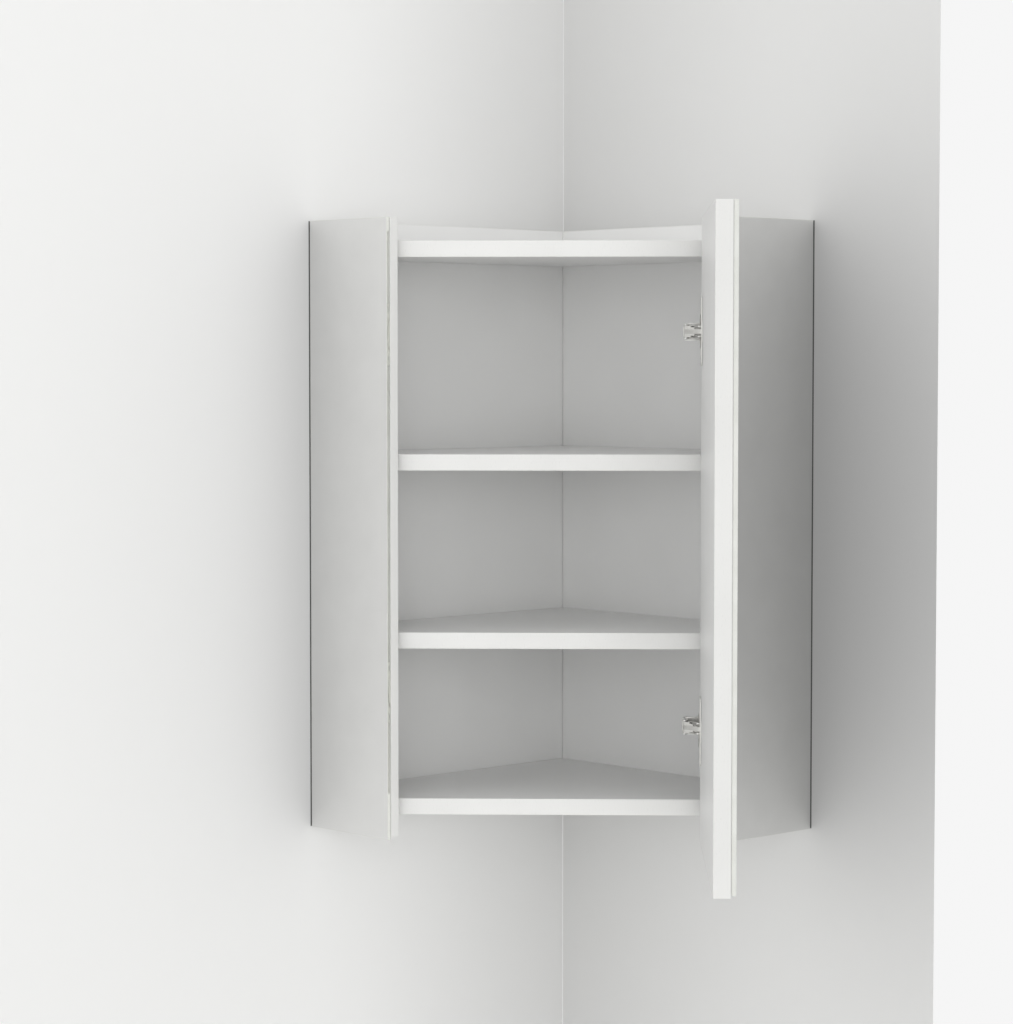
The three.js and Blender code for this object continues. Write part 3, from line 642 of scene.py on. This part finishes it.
def studio_light(even, glow, backdrop):
    """An even white light with a soft glow in front of the cabinet, as of a large diffuser.

    The camera, the mirrors and the metal see a plain white backdrop in its place.
    """
    world = bpy.data.worlds.new("studio_light")
    world.use_nodes = True
    tree = world.node_tree
    background = tree.nodes["Background"]
    background.inputs["Color"].default_value = (1, 1, 1, 1)
    place = add_node(tree, "ShaderNodeTexCoord").outputs["Generated"]
    facing = add_node(tree, "ShaderNodeVectorMath", {
        0: place, 1: (0, -1, 0),
    }, operation="DOT_PRODUCT").outputs["Value"]
    lobe = math_node(tree, "POWER", math_node(tree, "MAXIMUM", facing, 0.0), GLOW_POWER)
    light = math_node(tree, "ADD", math_node(tree, "MULTIPLY", lobe, glow), even)
    ray = add_node(tree, "ShaderNodeLightPath").outputs
    mirrored = math_node(tree, "MAXIMUM", ray["Is Glossy Ray"], ray["Is Transmission Ray"])
    seen = math_node(tree, "MAXIMUM", ray["Is Camera Ray"], mirrored)
    change = math_node(tree, "MULTIPLY", seen, math_node(tree, "SUBTRACT", backdrop, light))
    tree.links.new(math_node(tree, "ADD", light, change), background.inputs["Strength"])
    return world


def photo_camera(stage):
    """The camera that was fitted to the photograph."""
    yaw, pitch = stage.camera_yaw, stage.camera_pitch
    right = Vector((math.cos(yaw), -math.sin(yaw), 0))
    level = math.cos(pitch)
    forward = Vector((math.sin(yaw) * level, math.cos(yaw) * level, -math.sin(pitch)))
    up = right.cross(forward)
    turn = Matrix((right, up, -forward)).transposed()
    lens = bpy.data.cameras.new("camera")
    lens.sensor_fit = "HORIZONTAL"
    lens.sensor_width = SENSOR_MM
    lens.lens = stage.focal_pixels * SENSOR_MM / PHOTO_WIDTH
    camera = new_object("camera", lens)
    camera.matrix_world = Matrix.Translation(stage.camera_place) @ turn.to_4x4()
    return camera


# ---------------------------------------------------------------- settings


class CabinetLook(bpy.types.PropertyGroup):
    """Colours and edge sizes of the cabinet's surfaces."""

    board_colour: bpy.props.StringProperty(
        name="Board", description="sRGB colour of the melamine", default="#F3F3F2")
    board_shade: bpy.props.StringProperty(
        name="Board shade", description="Darker end of the melamine's colour", default="#F0F0EF")
    edging_colour: bpy.props.StringProperty(
        name="Edging", description="sRGB colour of the edging", default="#ECECEA")
    edging_shade: bpy.props.StringProperty(
        name="Edging shade", description="Darker end of the edging's colour", default="#E9E9E7")
    # The door's colours are painted shade: the carcass's foil and edging, a shade greyer.
    door_painted_shade_colour: bpy.props.StringProperty(
        name="Door board", description="sRGB colour of the door's melamine", default="#E7E7E6")
    door_painted_shade_dark_end: bpy.props.StringProperty(
        name="Door board shade", description="Darker end of the door's melamine",
        default="#E4E4E3")
    door_edging_painted_shade_colour: bpy.props.StringProperty(
        name="Door edging", description="sRGB colour of the door's edging", default="#E3E3E1")
    door_edging_painted_shade_dark_end: bpy.props.StringProperty(
        name="Door edging shade", description="Darker end of the door's edging",
        default="#E0E0DE")
    mirror_colour: bpy.props.StringProperty(
        name="Mirror", description="sRGB colour that the silvering reflects", default="#EEEEED")
    mirror_shade: bpy.props.StringProperty(
        name="Mirror shade", description="Darker end of the silvering's colour",
        default="#EBEBEA")
    glass_edge_colour: bpy.props.StringProperty(
        name="Glass edge", description="sRGB colour of the polished edge", default="#F0F1EC")
    glass_edge_shade: bpy.props.StringProperty(
        name="Glass edge shade", description="Darker end of the polished edge's colour",
        default="#E8E9E3")
    nickel_colour: bpy.props.StringProperty(
        name="Nickel", description="sRGB colour of the nickel plate", default="#F0EFEC")
    nickel_shade: bpy.props.StringProperty(
        name="Nickel shade", description="Darker end of the nickel's colour", default="#E6E5E2")
    arris: bpy.props.FloatProperty(
        name="Glass arris", description="Radius of the mirror's ground arris, in mm",
        default=0.15, min=0.05)
    pressed_edge: bpy.props.FloatProperty(
        name="Pressed edge", description="Radius that pressing leaves on sheet steel, in mm",
        default=0.18, min=0.05)


class CabinetStage(bpy.types.PropertyGroup):
    """Camera, light and backdrop."""

    camera_place: bpy.props.FloatVectorProperty(
        name="Camera", description="Place of the camera", subtype="TRANSLATION", unit="LENGTH",
        default=(0.03028, -3.11663, 0.46245))
    camera_yaw: bpy.props.FloatProperty(
        name="Yaw", description="Turn to the right of straight back", subtype="ANGLE",
        default=-0.0292)
    camera_pitch: bpy.props.FloatProperty(
        name="Pitch", description="Tilt down from level", subtype="ANGLE", default=0.0519)
    focal_pixels: bpy.props.FloatProperty(
        name="Focal length", description="Focal length in pixels of the photograph's frame",
        subtype="PIXEL", default=2908.75)
    left_wall_colour: bpy.props.StringProperty(
        name="Left wall", description="sRGB colour of the backdrop's left wall",
        default="#F5F5F4")
    # The right wall's colour is a shade greyer than the left's: painted shade.
    right_wall_colour_and_painted_shade: bpy.props.StringProperty(
        name="Right wall", description="sRGB colour of the backdrop's right wall",
        default="#E3E3E2")
    # The corner colours are painted shade, which greys the walls towards the room's corner.
    left_corner_painted_shade: bpy.props.StringProperty(
        name="Left wall's corner", description="sRGB colour of the left wall in the corner",
        default="#E1E1E0")
    right_corner_painted_shade: bpy.props.StringProperty(
        name="Right wall's corner", description="sRGB colour of the right wall in the corner",
        default="#D8D8D7")
    # Painted shadow: a dark paint on the wall behind a mirror's end, in place of the shade in the
    # gap.
    gap_painted_shadow_colour: bpy.props.StringProperty(
        name="Shadow gap", description="sRGB colour of the wall behind a mirror's end",
        default="#6A6A68")
    floor_colour: bpy.props.StringProperty(
        name="Floor", description="sRGB colour of the floor", default="#FAFAF9")
    floor_drop: bpy.props.FloatProperty(
        name="Floor drop", description="Floor below the cabinet", unit="LENGTH", default=1.1)
    floor_reach: bpy.props.FloatProperty(
        name="Floor reach", description="Floor to either side and in front of the corner",
        unit="LENGTH", default=6.0)
    left_wall_reach: bpy.props.FloatProperty(
        name="Left wall length", description="Length of the left wall from the corner",
        unit="LENGTH", default=2.2)
    right_wall_reach: bpy.props.FloatProperty(
        name="Right wall length", description="Length of the right wall from the corner",
        unit="LENGTH", default=0.505)
    wall_top: bpy.props.FloatProperty(
        name="Wall top", description="Height of the walls over the cabinet's lower edge",
        unit="LENGTH", default=1.6)
    world_strength: bpy.props.FloatProperty(
        name="Sky", description="Strength of the even light", default=0.82)
    glow_strength: bpy.props.FloatProperty(
        name="Glow", description="Strength of the soft light in front of the cabinet",
        default=1.1)
    backdrop_strength: bpy.props.FloatProperty(
        name="Backdrop", description="Strength of the white that the camera and the mirrors see",
        default=0.92)
    key_place: bpy.props.FloatVectorProperty(
        name="Key place", description="Place of the key lamp", subtype="TRANSLATION",
        unit="LENGTH", default=(0.05, -3.0, 0.55))
    key_size: bpy.props.FloatVectorProperty(
        name="Key size", description="Width and height of the key lamp", size=2, unit="LENGTH",
        default=(1.6, 1.2))
    key_power: bpy.props.FloatProperty(
        name="Key", description="Power of the key lamp, in watts", unit="POWER", default=8.5)


# ---------------------------------------------------------------- operators


class CABINET_OT_materials(bpy.types.Operator):
    """Make the finishes of every piece"""

    bl_idname = "cabinet.materials"
    bl_label = "Finishes"

    def execute(self, context):
        look = context.scene.cabinet_look
        melamine_material("pressed_white_melamine", look.board_shade, look.board_colour)
        edging_material("extruded_white_abs_edging", look.edging_shade, look.edging_colour)
        # the door's foil and edging are the carcass's, made a shade greyer: painted shade on the
        # door
        melamine_material("pressed_melamine_painted_door_shade", look.door_painted_shade_dark_end, look.door_painted_shade_colour)
        edging_material("abs_edging_painted_door_shade", look.door_edging_painted_shade_dark_end,
                        look.door_edging_painted_shade_colour)
        for make in (silvered_face_material, polished_edge_material, nickel_material):
            make(look)
        for make in (backing_paint_material, adhesive_material, zinc_material, beech_material):
            make()
        return {"FINISHED"}


class CABINET_OT_boards(bpy.types.Operator):
    """Make the carcass boards and the door's board, with their edging"""

    bl_idname = "cabinet.boards"
    bl_label = "Boards"

    def execute(self, context):
        for node in PANELS + UPRIGHTS:
            board_piece(node, "cabinet", "pressed_white_melamine", "extruded_white_abs_edging")
        # the door's board takes the greyer foil and edging, which is painted shade
        board_piece("door_board", "door", "pressed_melamine_painted_door_shade", "abs_edging_painted_door_shade")
        return {"FINISHED"}


class CABINET_OT_mirrors(bpy.types.Operator):
    """Make the mirror glass on both sides and on the door, with its adhesive"""

    bl_idname = "cabinet.mirrors"
    bl_label = "Mirror glass"

    def execute(self, context):
        arris = context.scene.cabinet_look.arris
        panes = [(f"side_mirror_{side}", "cabinet", outward) for side, outward in WALL_RUN.items()]
        panes.append(("door_mirror", "door", DOOR_FACES))
        for node, body, outward in panes:
            pane_piece(node, body, outward, arris)
            adhesive_piece(node, body, outward)
        return {"FINISHED"}


class CABINET_OT_hinges(bpy.types.Operator):
    """Make the cups, arms, links, pins and mounting plates of both hinges"""

    bl_idname = "cabinet.hinges"
    bl_label = "Hinges"

    def execute(self, context):
        edge = context.scene.cabinet_look.pressed_edge
        parts = (
            ("hinge_cup", "door", "nickel_steel", edge),
            ("hinge_arm", "cabinet", "nickel_steel", edge),
            ("mounting_plate", "cabinet", "nickel_steel", edge),
            ("hinge_outer_link", "outer_links", "nickel_steel", edge / 2),
            ("hinge_inner_link", "inner_links", "nickel_steel", edge / 2),
            ("cup_pin", "door", "zinc_steel", edge),
            ("arm_pin_outer", "cabinet", "zinc_steel", edge),
            ("arm_pin_inner", "cabinet", "zinc_steel", edge),
        )
        for level in LEVELS:
            for part, body, slot, radius in parts:
                pressed_piece(f"{part}_{level}", body, slot, radius)
        return {"FINISHED"}


class CABINET_OT_hangers(bpy.types.Operator):
    """Make the keyhole plates that hang the cabinet on the walls"""

    bl_idname = "cabinet.hangers"
    bl_label = "Hangers"

    def execute(self, context):
        for side in WALL_RUN:
            pressed_piece(f"hanger_plate_{side}", "cabinet", "zinc_steel", HANGER_EDGE_MM)
        return {"FINISHED"}


class CABINET_OT_fixings(bpy.types.Operator):
    """Make the screws and dowels with Geometry Nodes"""

    bl_idname = "cabinet.fixings"
    bl_label = "Screws and dowels"

    def execute(self, context):
        screw, dowel = screw_tree(), dowel_tree()
        into_side = WALL_RUN["right"]
        ends = [f"{end}_{level}" for level in LEVELS for end in ("bottom", "top")]
        # the cup screws are countersunk, flush with the flange
        screws_piece("cup_screws", screw, "door", {f"cup_screw_{end}": DOOR_FACES for end in ends},
                     {"Seat radius": 1.8, "Face radius": 3.55, "Head height": 1.2,
                      "Shank length": 11.8})
        screws_piece("plate_screws", screw, "cabinet",
                     {f"plate_screw_{end}": into_side for end in ends},
                     {"Head height": 1.5, "Shank length": 9.5})
        screws_piece("arm_screws", screw, "cabinet",
                     {f"arm_screw_{level}": into_side for level in LEVELS},
                     {"Head height": 1.2, "Shank radius": 1.75, "Shank length": 7.5})
        screws_piece("hanger_screws", screw, "cabinet",
                     {f"hanger_screw_{side}_{place}": INTO_ROOM[side]
                      for side in WALL_RUN for place in ("inner", "outer")},
                     {"Seat radius": 3.2, "Face radius": 2.4, "Head height": 0.9,
                      "Shank radius": 1.5, "Shank length": 8})
        dowels = sorted(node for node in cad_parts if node.startswith("dowel_"))
        places = []
        for node in dowels:
            aim = -WALL_RUN["left" if "_left_" in node else "right"]
            places.append((rod_place(node, aim), aim))
        fixings_piece("dowels", dowel, places, {}, "cabinet", "beech", dowels)
        return {"FINISHED"}


class CABINET_OT_stage(bpy.types.Operator):
    """Make the backdrop, the floor, the light and the camera"""

    bl_idname = "cabinet.stage"
    bl_label = "Stage"

    def execute(self, context):
        scene, stage = context.scene, context.scene.cabinet_stage
        # painted shade on the walls, greyer towards the room's corner
        wall_paint_and_painted_shade_material("left", stage.left_wall_colour, stage.left_corner_painted_shade)
        # the right wall's greyer colour is painted shade
        wall_paint_and_painted_shade_material("right", stage.right_wall_colour_and_painted_shade, stage.right_corner_painted_shade)
        # painted shadow in the gap behind each mirror's end
        painted_gap_shadow_tree, _ = paint_material("wall_painted_gap_shadow", stage.gap_painted_shadow_colour)
        see_through_from_behind(painted_gap_shadow_tree)
        paint_material("floor_emulsion", stage.floor_colour)
        for side, reach in (("left", stage.left_wall_reach), ("right", stage.right_wall_reach)):
            wall_plane(side, reach, -stage.floor_drop, stage.wall_top)
        floor_plane(stage.floor_reach, stage.floor_drop)

        middle = (Vector(CAD_BOX[0]) + Vector(CAD_BOX[1])) / 2
        key_lamp(stage.key_place, middle, stage.key_size, stage.key_power)
        scene.world = studio_light(stage.world_strength, stage.glow_strength,
                                   stage.backdrop_strength)
        # as in a catalogue picture's render: no light thrown by the mirrors, and few bounces
        scene.cycles.caustics_reflective = False
        scene.cycles.diffuse_bounces = DIFFUSE_BOUNCES

        scene.camera = photo_camera(stage)
        scene.view_settings.view_transform = "Standard"
        return {"FINISHED"}


class CABINET_PT_sidebar(bpy.types.Panel):
    """Lists what makes the cabinet, in order"""

    bl_label = "Corner wall cabinet"
    bl_idname = "CABINET_PT_sidebar"
    bl_space_type = "VIEW_3D"
    bl_region_type = "UI"
    bl_category = "Cabinet"

    def draw(self, context):
        for group in (context.scene.cabinet_look, context.scene.cabinet_stage):
            for name in group.__annotations__:
                self.layout.prop(group, name)
        for step in STEPS:
            self.layout.operator(step.bl_idname)


STEPS = (CABINET_OT_materials, CABINET_OT_boards, CABINET_OT_mirrors, CABINET_OT_hinges,
         CABINET_OT_hangers, CABINET_OT_fixings, CABINET_OT_stage)
CLASSES = (CabinetLook, CabinetStage) + STEPS + (CABINET_PT_sidebar,)


def register():
    """Adds the classes and their settings to Blender."""
    for item in CLASSES:
        bpy.utils.register_class(item)
    bpy.types.Scene.cabinet_look = bpy.props.PointerProperty(type=CabinetLook)
    bpy.types.Scene.cabinet_stage = bpy.props.PointerProperty(type=CabinetStage)


def unregister():
    """Takes the classes and their settings out again."""
    del bpy.types.Scene.cabinet_stage
    del bpy.types.Scene.cabinet_look
    for item in reversed(CLASSES):
        bpy.utils.unregister_class(item)


def main():
    """Builds the cabinet."""
    register()
    for step in STEPS:
        group, name = step.bl_idname.split(".")
        getattr(getattr(bpy.ops, group), name)()


if __name__ == "__main__":
    main()
